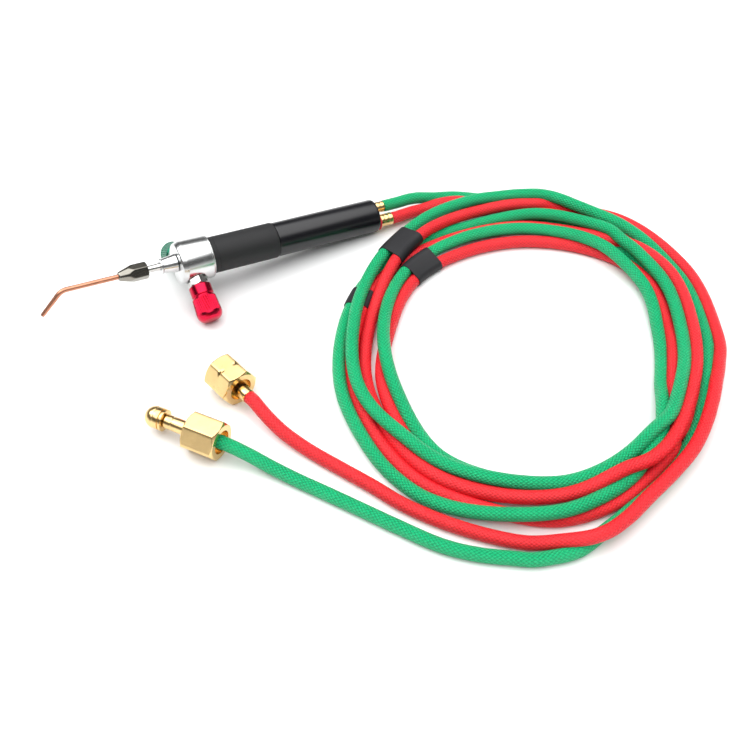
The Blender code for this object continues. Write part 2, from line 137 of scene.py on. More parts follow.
# One list per turn, clockwise from COIL_FIRST degrees in steps of COIL_STEP: (radius, height).
GREEN_TURNS = [
    [(90, 3.3), (81, 3.3), (75, 3.3), (71, 3.3), (76, 3.3), (86.5, 3.3), (98.5, 3.3), (99.5, 3.3),
     (86, 8.5), (79, 9.2), (78, 7.5), (73.8, 8.9)],
    [(72.3, 8.9), (69.5, 8.6), (66, 4.5), (61.5, 3.8), (67, 5.5), (91.5, 8.3), (116.8, 8.6),
     (121.8, 3.8), (110.8, 3.3), (99.5, 3.3), (92.5, 3.3), (86, 3.4)],
    [(85, 7.8), (81, 9), (74.2, 9.4), (70.5, 9.2), (75.2, 11), (88.4, 11.8), (101.4, 9), (105.9, 9),
     (102.8, 8.9), (94.1, 8.9), (93.5, 9.2), (99.8, 8.9)],
    [(98.5, 9.0), (91, 8.2), (86, 3.5), (81.8, 3.3)],
]
RED_TURNS = [
    [(96.5, 3.3), (87.5, 3.3), (80.3, 3.3), (76.4, 3.3), (81, 3.3), (94, 3.3), (104.8, 3.3),
     (106, 3.3), (90, 3.3), (76, 3.3), (72, 3.3), (67.4, 3.3)],
    [(66.8, 3.3), (68.6, 3.3), (70, 3.3), (66, 3.3), (71, 5), (98.5, 3.4), (117.5, 3.4), (116, 3.3),
     (104.3, 3.3), (93, 3.3), (86, 3.3), (79.8, 3.3)],
    [(79.5, 3.3), (80, 4.5), (79.8, 9.4), (75.4, 9.2), (79.2, 11.2), (95.6, 11.6), (108, 9),
     (111.6, 7.5), (98.0, 4.5), (87, 3.8), (86.5, 7.8), (90, 8.9)],
    [(94.0, 6.2), (100.5, 3.3), (93.8, 3.3), (88.4, 3.3)],
]


def look_at(obj, target):
    aim = Vector(target) - obj.location
    obj.rotation_euler = aim.to_track_quat("-Z", "Y").to_euler()


def make_camera():
    camera = bpy.data.objects.new("camera", bpy.data.cameras.new("camera"))
    bpy.context.scene.collection.objects.link(camera)
    camera.location = CAMERA_AT
    camera.data.lens = CAMERA_LENS
    camera.data.clip_start = 0.01
    look_at(camera, CAMERA_TARGET)
    bpy.context.scene.camera = camera


def lengths_along(path):
    """Distance of each point from the path's start."""
    return np.concatenate([[0], np.cumsum(np.linalg.norm(np.diff(path, axis=0), axis=1))])


def smooth_route(route, spacing):
    """Points about equally spaced on a smooth curve through the route, as an array."""
    points = np.array(route, float)
    points = np.vstack([2 * points[0] - points[1], points, 2 * points[-1] - points[-2]])
    share = np.linspace(0, 1, CURVE_STEPS, endpoint=False)[:, None]
    fine = []
    for a, b, c, d in zip(points, points[1:], points[2:], points[3:]):
        bend = (2 * a - 5 * b + 4 * c - d) * share**2 + (3 * b - a - 3 * c + d) * share**3
        fine.append(0.5 * (2 * b + (c - a) * share + bend))
    fine = np.vstack(fine + [points[-2:-1]])
    along = lengths_along(fine)
    read = np.linspace(0, along[-1], max(2, round(along[-1] / spacing)) + 1)
    return np.column_stack([np.interp(read, along, fine[:, i]) for i in range(3)])


def coil_points(turns):
    """Places of one hose through its turns, clockwise seen from above."""
    places = []
    for number, (radius, height) in enumerate([lane for turn in turns for lane in turn]):
        angle = math.radians(COIL_FIRST - COIL_STEP * number)
        places.append((
            COIL_CENTRE[0] + radius * math.cos(angle),
            COIL_CENTRE[1] + radius * math.sin(angle),
            height,
        ))
    return places


def near_pairs(points, owner):
    """Pairs of centreline points close to each other, on different stretches of hose."""
    square = np.sum(points**2, axis=1)
    apart = square[:, None] + square[None, :] - 2 * points @ points.T
    order = np.arange(len(points))
    same_hose = owner[:, None] == owner[None, :]
    neighbours = same_hose & (np.abs(order[:, None] - order[None, :]) < SAME_STRETCH)
    close = (apart < (HOSE_DIAMETER * SEARCH_REACH) ** 2) & ~neighbours
    first, second = np.nonzero(np.triu(close, 1))
    return first, second


def settle(routes, softness):
    """Pushes hoses that are too close apart, by at most SHIFT_LIMIT from their routes."""
    rest = np.vstack(routes)
    owner = np.concatenate([[i] * len(route) for i, route in enumerate(routes)])
    ends = np.cumsum([0] + [len(route) for route in routes])
    shift = np.zeros_like(rest)
    soft = np.concatenate(softness)[:, None]
    for step in range(SETTLE_STEPS):
        now = rest + shift
        if step % SEARCH_EVERY == 0:
            first, second = near_pairs(now, owner)
        gap = now[first] - now[second]
        distance = np.linalg.norm(gap, axis=1)
        push = gap * (np.maximum(0, CLEARANCE - distance) / np.maximum(distance, 0.5))[:, None]
        share = soft[first] / (soft[first] + soft[second])
        moved = np.zeros_like(rest)
        touching = np.ones(len(rest))
        hit = distance < CLEARANCE
        np.add.at(moved, first, push * share)
        np.add.at(moved, second, -push * (1 - share))
        np.add.at(touching, first[hit], 1)
        np.add.at(touching, second[hit], 1)
        shift += PUSH_GAIN * moved / touching[:, None]
        shift[:, :2] *= SIDEWAYS_KEPT
        shift[:, 2] -= SINK
        shift = np.clip(shift, -SHIFT_LIMIT, SHIFT_LIMIT)
        for a, b in zip(ends, ends[1:]):
            piece = shift[a:b]
            piece[1:-1] = 0.5 * piece[1:-1] + 0.25 * (piece[:-2] + piece[2:])
            piece[:HELD_AT_TORCH] = 0
            piece[-HELD_AT_FITTING:] = 0
        shift[:, 2] = np.maximum(shift[:, 2], FLOOR_CENTRE - rest[:, 2])
    settled = rest + shift
    return [settled[a:b] for a, b in zip(ends, ends[1:])]


def mesh_object(name, points, faces, uv=None):
    """Mesh object from points in metres, with an optional map by point as (u, v)."""
    mesh = bpy.data.meshes.new(name)
    mesh.from_pydata([tuple(p) for p in points], [], faces)
    if uv is not None:
        layer = mesh.uv_layers.new(name="along_round")
        loops = np.zeros(len(mesh.loops), int)
        mesh.loops.foreach_get("vertex_index", loops)
        flat = np.array(uv, float)[loops]
        starts = np.zeros(len(mesh.polygons), int)
        mesh.polygons.foreach_get("loop_start", starts)
        totals = np.zeros(len(mesh.polygons), int)
        mesh.polygons.foreach_get("loop_total", totals)
        for start, total in zip(starts, totals):
            v = flat[start:start + total, 1]
            if v.max() - v.min() > 0.5:
                v[v < 0.5] += 1.0
        layer.data.foreach_set("uv", flat.ravel())
    obj = bpy.data.objects.new(name, mesh)
    bpy.context.scene.collection.objects.link(obj)
    mesh.shade_smooth()
    return obj


def sweep(name, path, radius, sides=20, radii=None):
    """Closed round tube along a path in metres; the map's u is metres along, v is turns round."""
    path = np.array(path)
    tangent = np.gradient(path, axis=0)
    tangent /= np.linalg.norm(tangent, axis=1)[:, None]
    side = np.cross(tangent[0], (0, 0, 1.0))
    sides_of = []
    for t in tangent:
        side = side - t * np.dot(side, t)
        side /= np.linalg.norm(side)
        sides_of.append(side)
    sides_of = np.array(sides_of)
    other = np.cross(tangent, sides_of)
    along = lengths_along(path)
    turn = np.arange(sides) / sides
    size = np.full(len(path), radius) if radii is None else np.array(radii)
    ring = (np.cos(2 * np.pi * turn)[None, :, None] * sides_of[:, None, :]
            + np.sin(2 * np.pi * turn)[None, :, None] * other[:, None, :])
    points = (path[:, None, :] + ring * size[:, None, None]).reshape(-1, 3)
    uv = np.column_stack([np.repeat(along, sides), np.tile(turn, len(path))])
    faces = []
    for i in range(len(path) - 1):
        for j in range(sides):
            k = (j + 1) % sides
            faces.append((i * sides + j, i * sides + k, (i + 1) * sides + k, (i + 1) * sides + j))
    faces.append(tuple(reversed(range(sides))))
    last = (len(path) - 1) * sides
    faces.append(tuple(last + j for j in range(sides)))
    return mesh_object(name, points, faces, uv)


def axis_frame(origin, direction, down=(0, 0, -1)):
    """Matrix whose local Z is the direction and whose local X is nearest to down."""
    z = Vector(direction).normalized()
    y = z.cross(Vector(down)).normalized()
    x = y.cross(z)
    return Matrix.Translation(Vector(origin)) @ Matrix((x, y, z)).transposed().to_4x4()


def rounded(profile, edge):
    """Profile of (along, radius) with its inner corners rounded by short arcs."""
    points = [Vector(p) for p in profile]
    made = [points[0]]
    for before, corner, after in zip(points, points[1:], points[2:]):
        back, ahead = before - corner, after - corner
        size = min(edge, back.length * 0.4, ahead.length * 0.4)
        if back.length < 1e-6 or ahead.length < 1e-6 or abs(back.angle(ahead) - math.pi) < 0.15:
            made.append(corner)
            continue
        start, end = corner + back.normalized() * size, corner + ahead.normalized() * size
        for t in (0.0, 0.33, 0.67, 1.0):
            made.append(start * (1 - t) ** 2 + corner * 2 * t * (1 - t) + end * t * t)
    return made + [points[-1]]


def spun(name, place, outer, bore=(), steps=96, form=None, edge=0.25, crease=38):
    """Turned piece in millimetres; form(turn, along, radius) reshapes its outside."""
    outside = rounded(outer, edge)
    inside = [Vector(p) for p in reversed(list(bore))]
    stations = [(p[0], p[1], True) for p in outside] + [(p[0], p[1], False) for p in inside]
    points, uv, faces = [], [], []
    for along, radius, reshaped in stations:
        for j in range(steps):
            turn = 2 * math.pi * j / steps
            r = form(turn, along, radius) if form and reshaped else radius
            points.append(place @ Vector((r * math.cos(turn), r * math.sin(turn), along)))
            uv.append((along * MM, j / steps))
    count = len(stations)
    closed = bool(bore)
    for i in range(count if closed else count - 1):
        a, b = i * steps, (i + 1) % count * steps
        for j in range(steps):
            k = (j + 1) % steps
            faces.append((a + j, a + k, b + k, b + j))
    if not closed:
        faces.append(tuple(reversed(range(steps))))
        faces.append(tuple((count - 1) * steps + j for j in range(steps)))
    obj = mesh_object(name, points, faces, uv)
    obj.data.set_sharp_from_angle(angle=math.radians(crease))
    return obj


def scaled(origin, direction, down=(0, 0, -1)):
    """Frame in which profiles are in millimetres."""
    return axis_frame(origin, direction, down) @ Matrix.Scale(MM, 4)


def shader(name, colour, metallic=0.0, roughness=0.5, **more):
    material = bpy.data.materials.new(name)
    material.use_nodes = True
    surface = material.node_tree.nodes["Principled BSDF"]
    surface.inputs["Base Color"].default_value = (*colour, 1.0)
    surface.inputs["Metallic"].default_value = metallic
    surface.inputs["Roughness"].default_value = roughness
    for key, value in more.items():
        surface.inputs[key.replace("_", " ")].default_value = value
    return material


class Nodes:
    """Short way to write a material's node tree."""

    def __init__(self, material):
        self.tree = material.node_tree
        self.surface = self.tree.nodes["Principled BSDF"]

    def new(self, kind, **settings):
        node = self.tree.nodes.new(kind)
        for key, value in settings.items():
            setattr(node, key, value)
        return node

    def link(self, output, target):
        self.tree.links.new(output, target)

    def math(self, operation, a, b=None, c=None):
        node = self.new("ShaderNodeMath", operation=operation)
        for socket, value in zip(node.inputs, (a, b, c)):
            if value is None:
                continue
            if isinstance(value, (int, float)):
                socket.default_value = value
            else:
                self.link(value, socket)
        return node.outputs[0]

    def noise(self, scale, detail=3.0, stretch=None):
        where = self.new("ShaderNodeTexCoord").outputs["Object"]
        if stretch:
            mapping = self.new("ShaderNodeMapping")
            mapping.inputs["Scale"].default_value = stretch
            self.link(where, mapping.inputs["Vector"])
            where = mapping.outputs["Vector"]
        node = self.new("ShaderNodeTexNoise")
        node.inputs["Scale"].default_value = scale
        node.inputs["Detail"].default_value = detail
        self.link(where, node.inputs["Vector"])
        return node.outputs["Fac"]

    def along_round(self):
        node = self.new("ShaderNodeUVMap", uv_map="along_round")
        split = self.new("ShaderNodeSeparateXYZ")
        self.link(node.outputs["UV"], split.inputs["Vector"])
        return split.outputs["X"], split.outputs["Y"]

    def ramp(self, value, stops):
        node = self.new("ShaderNodeValToRGB")
        while len(node.color_ramp.elements) < len(stops):
            node.color_ramp.elements.new(0.5)
        for element, (place, colour) in zip(node.color_ramp.elements, stops):
            element.position = place
            element.color = (*colour, 1.0)
        self.link(value, node.inputs["Fac"])
        return node.outputs["Color"]

    def level(self, value, low, high):
        node = self.new("ShaderNodeMapRange")
        node.inputs["To Min"].default_value = low
        node.inputs["To Max"].default_value = high
        self.link(value, node.inputs["Value"])
        return node.outputs["Result"]

    def bump(self, height, distance, strength=1.0):
        node = self.new("ShaderNodeBump")
        node.inputs["Strength"].default_value = strength
        node.inputs["Distance"].default_value = distance
        self.link(height, node.inputs["Height"])
        self.link(node.outputs["Normal"], self.surface.inputs["Normal"])


def braid_material(name, bright, dark, carriers=12, pitch=0.0022, depth=0.0006):
    """Braided yarn sleeve: two families of yarns crossing over and under each other, with shade
    painted into the hollows between them.
    """
    material = shader(name, bright, 0.0, 0.5, Specular_IOR_Level=0.5)
    n = Nodes(material)
    along, turn = n.along_round()
    steps = n.math("MULTIPLY", along, 1.0 / pitch)
    round_steps = n.math("MULTIPLY", turn, float(carriers))
    right = n.math("ADD", round_steps, steps)
    left = n.math("SUBTRACT", round_steps, steps)
    wave_right = n.math("SINE", n.math("MULTIPLY", right, math.pi))
    wave_left = n.math("SINE", n.math("MULTIPLY", left, math.pi))
    over = n.math("GREATER_THAN", n.math("MULTIPLY", wave_right, wave_left), 0.0)
    hill = n.math("ABSOLUTE", n.math("MULTIPLY", wave_right, wave_left))
    fibre_right = n.math("SINE", n.math("MULTIPLY", right, 8 * math.pi))
    fibre_left = n.math("SINE", n.math("MULTIPLY", left, 8 * math.pi))
    mix = n.new("ShaderNodeMix", data_type="FLOAT")
    n.link(over, mix.inputs[0])
    n.link(fibre_left, mix.inputs[2])
    n.link(fibre_right, mix.inputs[3])
    height = n.math("ADD", n.math("POWER", hill, 0.5), n.math("MULTIPLY", mix.outputs[0], 0.1))
    n.bump(height, depth)
    mottle = n.noise(55.0, 2.0)
    # Colour darkens where the braid's surface sinks between yarn crossings: painted crevice shade,
    # mixed with random mottle.
    crevice_shade_and_mottle = n.math("ADD", n.math("MULTIPLY", height, 0.75), n.math("MULTIPLY", mottle, 0.35))
    n.link(n.ramp(crevice_shade_and_mottle, [(0.12, dark), (0.62, bright)]), n.surface.inputs["Base Color"])
    n.link(n.level(height, 0.6, 0.34), n.surface.inputs["Roughness"])
    return material


def metal(name, colour, roughness, deep=None, grain=(40.0, 40.0, 900.0), scratch=0.00002):
    """Worked metal with slight clouding, fine scratches and uneven polish."""
    material = shader(name, colour, 1.0, roughness)
    n = Nodes(material)
    cloud = n.noise(110.0, 4.0)
    fine = n.noise(1.0, 2.0, grain)
    shade = deep or tuple(c * 0.82 for c in colour)
    n.link(n.ramp(cloud, [(0.3, shade), (0.62, colour)]), n.surface.inputs["Base Color"])
    n.link(n.level(cloud, roughness * 0.75, roughness * 1.35), n.surface.inputs["Roughness"])
    n.bump(fine, scratch, 0.35)
    return material


def coating(name, colour, roughness, speck=900.0, depth=0.00003):
    """Paint, rubber or moulded plastic with a fine grain."""
    material = shader(name, colour, 0.0, roughness)
    n = Nodes(material)
    grain = n.noise(speck, 3.0)
    cloud = n.noise(70.0, 3.0)
    pale = tuple(min(1.0, c * 1.3 + 0.001) for c in colour)
    n.link(n.ramp(cloud, [(0.35, colour), (0.75, pale)]), n.surface.inputs["Base Color"])
    n.link(n.level(cloud, roughness * 0.85, roughness * 1.2), n.surface.inputs["Roughness"])
    n.bump(grain, depth, 0.6)
    return material


def wear(obj, material, slot_name, body, *nodes):
    """Gives a piece its material and body, and lets it stand for CAD nodes; slot_name is not used.
    """
    obj.data.materials.clear()
    obj.data.materials.append(material)
    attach(obj, body)
    if nodes:
        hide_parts(*nodes)
    return obj


JOINTS = {joint["name"]: joint for joint in frame["joints"]}
TORCH_AT = Vector(JOINTS["red_valve_turn"]["pos_m"])
TORCH_X = Vector(JOINTS["tip_swivel"]["axis"])
TORCH = scaled(TORCH_AT, TORCH_X)
NOSE = TORCH @ Matrix.Translation((-0.8, 0, 0))
VALVES = {
    colour: scaled(TORCH_AT, JOINTS[colour + "_valve_turn"]["axis"], TORCH_X)
    for colour in ("red", "green")
}
NUT_MIDDLE = {"fuel": 8.5, "oxygen": 32.2}
END_AXES = {
    "fuel": Vector(JOINTS["fuel_nut_spin"]["axis"]),
    "oxygen": Vector(JOINTS["oxygen_nut_slide"]["axis"]),
}
REAR_LINES = {"oxygen": (4.1, 1.6), "fuel": (-4.1, -1.4)}
ROOT = "torch_and_hoses"


def end_frame(gas):
    low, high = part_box(gas + "_nut")
    centre = (low + high) / 2
    return scaled(centre - END_AXES[gas] * NUT_MIDDLE[gas] * MM, END_AXES[gas])


ENDS = {gas: end_frame(gas) for gas in END_AXES}


def in_mm(place, across, up, along):
    """Place on a torch or hose-end axis, as x, y, z in millimetres."""
    return tuple(place @ Vector((-up, across, along)) / MM)


def hose_route(gas, ferrule_end, start, turns, end, straight_from):
    across, up = REAR_LINES[gas]
    route = [in_mm(TORCH, across, up, ferrule_end + lead) for lead in (0.3, 3.3)]
    route += start + coil_points(turns) + end
    route.append(in_mm(ENDS[gas], 0, 0, straight_from))
    route.append(in_mm(ENDS[gas], 0, 0, HOSE_AT_FITTING))
    return smooth_route(route, ROUTE_SPACING)


def lay_hoses():
    routes = [
        hose_route("oxygen", 116.2, GREEN_START, GREEN_TURNS, GREEN_END, 43.0),
        hose_route("fuel", 117.6, RED_START, RED_TURNS, RED_END, 27.0),
    ]
    softness = []
    for route in routes:
        soft = np.ones(len(route))
        soft[:HELD_AT_TORCH] = HELD_SOFTNESS
        soft[-HELD_AT_FITTING:] = HELD_SOFTNESS
        softness.append(soft)
    settled = settle(routes, softness)
    return [smooth_route(route, PATH_SPACING) for route in settled]


def hex_form(flats, notch=None):
    """Cuts a turned bar down to a hexagon with a flat facing local +X."""
    corner = flats / math.sqrt(3.0) * 0.99

    def form(turn, along, radius):
        aside = (turn + math.pi / 6) % (math.pi / 3) - math.pi / 6
        radius = min(radius, flats / 2 / math.cos(aside), corner)
        if notch is not None:
            radius = min(radius, 9.1 + abs(along - notch))
        return radius
    return form


def run(start, end, count):
    """Evenly spaced (along, radius) stations from start to end."""
    return [
        (start[0] + (end[0] - start[0]) * i / count, start[1] + (end[1] - start[1]) * i / count)
        for i in range(count + 1)
    ]


def knurl_form(low, high, teeth, pitch, depth):
    def form(turn, along, radius):
        if not low < along < high:
            return radius
        lead = turn * teeth / (2 * math.pi)
        ridge = 1 - abs(2 * ((lead + along / pitch) % 1) - 1)
        return radius - depth * (1 - min(1.0, 1.7 * ridge))
    return form


def cut(obj, *tools):
    """Takes the tools' shapes out of the piece and removes the tools."""
    for tool in tools:
        modifier = obj.modifiers.new("Cut", "BOOLEAN")
        modifier.operation = "DIFFERENCE"
        modifier.solver = "EXACT"
        modifier.object = tool
    bpy.context.view_layer.update()
    solved = obj.evaluated_get(bpy.context.evaluated_depsgraph_get())
    mesh = bpy.data.meshes.new_from_object(solved)
    obj.modifiers.clear()
    obj.data = mesh
    for tool in tools:
        bpy.data.objects.remove(tool, do_unlink=True)
    mesh.set_sharp_from_angle(angle=math.radians(30))
    return obj


def wrap(name, hoses, at, width):
    """Tape wound round the two hoses where they pass a place."""
    stations = []
    for path in hoses:
        nearest = int(np.argmin(np.linalg.norm(path - np.array(at), axis=1)))
        along = lengths_along(path)
        reads = along[nearest] + np.linspace(-width / 2, width / 2, TAPE_STATIONS)
        stations.append(np.column_stack([np.interp(reads, along, path[:, i]) for i in range(3)]))
    count, last = TAPE_SIDES, TAPE_STATIONS - 1
    points, faces, uv = [], [], []
    for step in range(TAPE_STATIONS):
        a, b = Vector(stations[0][step]), Vector(stations[1][step])
        before, after = max(0, step - 1), min(last, step + 1)
        ahead = Vector(stations[0][after] - stations[0][before]).normalized()
        side = (b - a - ahead * (b - a).dot(ahead)).normalized()
        up = ahead.cross(side)
        for layer in (TAPE_OUTSIDE, TAPE_INSIDE):
            radius = HOSE_DIAMETER / 2 + layer
            for j in range(count):
                turn = 2 * math.pi * j / count
                centre = b if math.cos(turn) > 0 else a
                lap = TAPE_LAP if layer == TAPE_OUTSIDE and 0.6 < turn < 1.9 else 0.0
                out = side * math.cos(turn) + up * math.sin(turn)
                point = centre + out * (radius + lap)
                point.z = max(point.z, TAPE_LOWEST)
                points.append(point * MM)
                uv.append((step * width / last * MM, j / count))
    row = 2 * count
    for step in range(last):
        for j in range(count):
            k = (j + 1) % count
            o, p = step * row, (step + 1) * row
            faces.append((o + j, p + j, p + k, o + k))
            faces.append((o + count + j, o + count + k, p + count + k, p + count + j))
    for o, flip in ((0, False), (last * row, True)):
        for j in range(count):
            k = (j + 1) % count
            face = (o + j, o + k, o + count + k, o + count + j)
            faces.append(tuple(reversed(face)) if flip else face)
    obj = mesh_object(name, points, faces, uv)
    obj.data.set_sharp_from_angle(angle=math.radians(50))
    return obj


make_camera()

# Finishes.
ALUMINIUM = metal("polished_aluminium", (0.70, 0.71, 0.71), 0.2)
NICKEL = metal("bright_nickel", (0.72, 0.71, 0.69), 0.13)
NICKEL_DARK = metal("dark_nickel", (0.30, 0.285, 0.25), 0.16)
COPPER = metal("copper", (0.60, 0.27, 0.17), 0.34)
BRASS = metal("bright_brass", (0.86, 0.61, 0.28), 0.2)
BRASS_DULL = metal("turned_brass", (0.78, 0.52, 0.26), 0.3)
STEEL = metal("dark_steel", (0.3, 0.3, 0.31), 0.35)
RED_ANODISED = metal("red_anodised", (0.62, 0.015, 0.05), 0.22, (0.5, 0.01, 0.04))
GREEN_ANODISED = metal("green_anodised", (0.02, 0.2, 0.12), 0.25, (0.015, 0.15, 0.09))
GRIP = coating("black_grip", (0.006, 0.006, 0.007), 0.65, 1500.0, 0.00006)
LACQUER = coating("black_lacquer", (0.004, 0.004, 0.006), 0.25, 1200.0, 0.00001)
RUBBER = coating("black_rubber", (0.015, 0.015, 0.016), 0.55)
RED_RUBBER = coating("red_rubber", (0.62, 0.02, 0.03), 0.4)
TAPE = coating("black_tape", (0.005, 0.005, 0.007), 0.6, 700.0, 0.00005)
# Each braid's second colour is its darkest tone, used for the painted shade in the weave's hollows
# and for the mottle.
GREEN_BRAID = braid_material("green_braid", (0.0, 0.56, 0.21), (0.0, 0.22, 0.08))
RED_BRAID = braid_material("red_braid", (0.86, 0.01, 0.02), (0.5, 0.0, 0.006), depth=0.00025)

# Hoses.
GREEN_PATH, RED_PATH = lay_hoses()
green_hose = sweep("green_hose", GREEN_PATH * MM, HOSE_DIAMETER / 2 * MM)
wear(green_hose, GREEN_BRAID, "green_hose_end", ROOT, "green_hose_start", "green_hose_end",
     "hose_coil")
red_hose = sweep("red_hose", RED_PATH * MM, HOSE_DIAMETER / 2 * MM)
wear(red_hose, RED_BRAID, "red_hose_end", ROOT, "red_hose_start", "red_hose_end")

TAPE_PLACES = [
    ("tape_band_1", (90.0, -29.0, 11.0), 22.0),
    ("tape_band_2", (94.0, -45.5, 9.5), 19.0),
    ("tape_band_3", (52.5, -52.0, 3.3), 12.0),
]
for name, at, width in TAPE_PLACES:
    tape = wrap(name + "_wrap", (GREEN_PATH, RED_PATH), at, width)
    wear(tape, TAPE, name, ROOT, name)

# Head, nose and tip.
head = spun("head", TORCH, [
    (-7.4, 3.0), (-7.4, 9.9), (-6.9, 10.4), (-4.6, 11.3), (8.9, 11.3), (9.1, 11.0), (9.4, 11.0),
    (9.6, 11.25), (10.0, 11.1), (10.0, 7.5), (16.0, 7.5),
])
wells = [
    spun("well", VALVES[colour], [
        (0.5, 0.8), (4.1, 0.8), (4.1, 2.2), (7.0, 2.2), (7.0, 3.3), (10.2, 3.3), (10.2, 5.6),
        (13.0, 5.6),
    ], steps=64, edge=0.0001)
    for colour in VALVES
]
wear(cut(head, *wells), ALUMINIUM, "head_body", ROOT, "head_body")
nose = spun("nose", NOSE, [
    (-16.2, 3.9), (-16.1, 4.1), (-15.5, 4.1), (-15.3, 3.72), (-12.5, 4.1), (-8.2, 4.72),
    (-7.75, 4.8), (-7.7, 3.0), (-4.7, 3.0),
], [(-16.2, 2.2), (-11.0, 2.2), (-11.0, 1.0), (-4.7, 1.0)])
wear(nose, ALUMINIUM, "nose_cone", ROOT, "nose_cone")
neck = spun("neck", NOSE, [
    (-31.9, 2.5), (-31.7, 2.7), (-24.3, 2.7), (-24.0, 1.9), (-11.4, 1.9),
], [(-31.9, 0.9), (-11.4, 0.9)], steps=48)
wear(neck, NICKEL, "neck_tube", ROOT, "neck_tube")
tip_nut = spun("tip_gland_nut", NOSE, [
    (-38.2, 1.9), (-38.0, 2.2), *run((-37.6, 2.45), (-30.4, 4.6), 10),
    *run((-30.1, 4.6), (-23.9, 4.6), 8), *run((-23.7, 4.55), (-23.2, 3.9), 3),
], [(-38.2, 1.6), (-34.4, 1.6), (-34.4, 3.0), (-23.2, 3.0)], form=hex_form(7.8), edge=0.05)
wear(tip_nut, NICKEL_DARK, "tip_nut", ROOT, "tip_nut")


def bent_tip():
    """Copper tube bent near its end, with a thinner open mouth."""
    side = Vector((math.cos(TIP_ROLL), -math.sin(TIP_ROLL), 0.0))
    ahead = Vector((0.0, 0.0, -1.0))
    start = ahead * (TIP_CORNER - TIP_BEND_RADIUS * math.tan(TIP_BEND / 2))
    centre = [ahead * (TIP_START + i * (start.length - TIP_START) / 12) for i in range(12)]
    for i in range(17):
        turn = TIP_BEND * i / 16
        bent = side * (1 - math.cos(turn)) + ahead * math.sin(turn)
        centre.append(start + bent * TIP_BEND_RADIUS)
    heading = side * math.sin(TIP_BEND) + ahead * math.cos(TIP_BEND)
    corner = ahead * TIP_CORNER
    first = (centre[-1] - corner).length
    centre += [
        corner + heading * (first + (TIP_LAST_LENGTH - first) * i / 10) for i in range(1, 11)
    ]
    mouth = centre[-1]
    along = [0.0]
    for a, b in zip(centre, centre[1:]):
        along.append(along[-1] + (b - a).length)
    radii = []
    for s in along:
        left = along[-1] - s
        taper, lip = 0.23 * max(0.0, 1 - left / 14.0), 0.08 * max(0.0, 1 - left / 0.5)
        radii.append(TIP_RADIUS - taper - lip)
    inward = [mouth - heading * d for d in (0.0, 0.5, 3.0, 8.0)]
    path = [tuple(NOSE @ p) for p in centre + inward]
    outside = sweep("tip_outside", path[:len(centre)], 0.0013, 24, [r * MM for r in radii])
    bore = sweep("tip_bore", [tuple(NOSE @ (mouth + heading * 1.0))] + path[-3:], 0.0006, 24)
    return cut(outside, bore)


tip = bent_tip()
tip.name = "tip"
wear(tip, COPPER, "tip_tube", "tip", "tip_tube")

# Valves.
for colour, finish in (("red", RED_ANODISED), ("green", GREEN_ANODISED)):
    nut = spun(colour + "_gland_nut", VALVES[colour], [
        (7.3, 3.0), (10.4, 3.0), (10.5, 5.2), *run((10.6, 5.3), (13.5, 5.3), 4),
        *run((13.6, 5.2), (14.1, 4.7), 3),
    ], [(7.3, 2.4), (10.2, 2.4), (10.2, 1.8), (14.1, 1.8)], form=hex_form(9.0), edge=0.05)
    wear(nut, NICKEL, colour + "_packing_nut", ROOT, colour + "_packing_nut")
    knob = spun(colour + "_knob", VALVES[colour], [
        (14.6, 1.8), (14.6, 5.4), (15.0, 5.8), (20.0, 5.8), (20.3, 5.3), (21.0, 5.3), (21.4, 6.15),
        *run((21.6, 6.2), (30.1, 6.69), 44), (30.3, 6.68), (31.5, 6.4), (32.8, 5.6), (33.6, 4.4),
        (34.0, 3.0),
    ], steps=192, form=knurl_form(21.7, 30.0, 32, 9.0, 0.42), edge=0.35, crease=50)
    hole = spun("hole", VALVES[colour], [(14.0, 1.8), (28.0, 1.8)], steps=48)
    aside = Matrix.Rotation(math.radians(90.0 if colour == "red" else -90.0), 4, "X")
    seat = spun("seat", VALVES[colour] @ Matrix.Translation((0, 0, 17.4)) @ aside,
                [(1.0, 1.1), (7.0, 1.1)], steps=32)
    wear(cut(knob, hole, seat), finish, colour + "_valve_knob", colour + "_valve",
         colour + "_valve_knob")

# Handle.
tube = spun("handle", TORCH, [
    (10.4, 8.4), (47.5, 8.4), (47.5, 8.9), (47.8, 9.1), (106.4, 9.1), (107.3, 9.02), (107.9, 8.8),
    (108.2, 8.4), (108.2, 8.0),
], [(10.4, 7.8), (108.2, 7.8)])
wear(tube, LACQUER, "handle_tube", ROOT, "handle_tube")
grip = spun("grip", TORCH, [
    (10.4, 9.2), (10.8, 9.5), (12.6, 9.5), (12.8, 9.35), (13.2, 9.35), (13.4, 9.5), (46.0, 9.5),
    (46.8, 9.5), (47.2, 9.2),
], [(10.4, 8.7), (47.2, 8.7)])
wear(grip, GRIP, "grip_sleeve", ROOT, "grip_sleeve")

# Rear ferrules.
for gas, start, end, radius in (("oxygen", 108.7, 116.2, 3.05), ("fuel", 109.8, 117.6, 3.4)):
    across, up = REAR_LINES[gas]
    place = TORCH @ Matrix.Translation((-up, across, 0))
    groove = radius - 0.2
    ferrule = spun(gas + "_crimp", place, [
        (start, radius - 0.3), (start + 0.4, radius), (start + 2.0, radius), (start + 2.2, groove),
        (start + 2.8, groove), (start + 3.0, radius), (end - 3.0, radius), (end - 2.8, groove),
        (end - 2.2, groove), (end - 2.0, radius), (end - 0.4, radius), (end, radius - 0.3),
    ], [(start, 2.5), (end, 2.5)], steps=48, edge=0.1)
    wear(ferrule, BRASS, gas + "_ferrule", ROOT, gas + "_ferrule")
    if gas == "fuel":
        ring = spun("marker_ring", place, [(108.6, 4.3), (108.8, 4.6), (109.3, 4.6), (109.5, 4.3)],
                    [(108.6, 2.2), (109.5, 2.2)], steps=48)
        wear(ring, RED_RUBBER, "fuel_marker_ring", ROOT, "fuel_marker_ring")

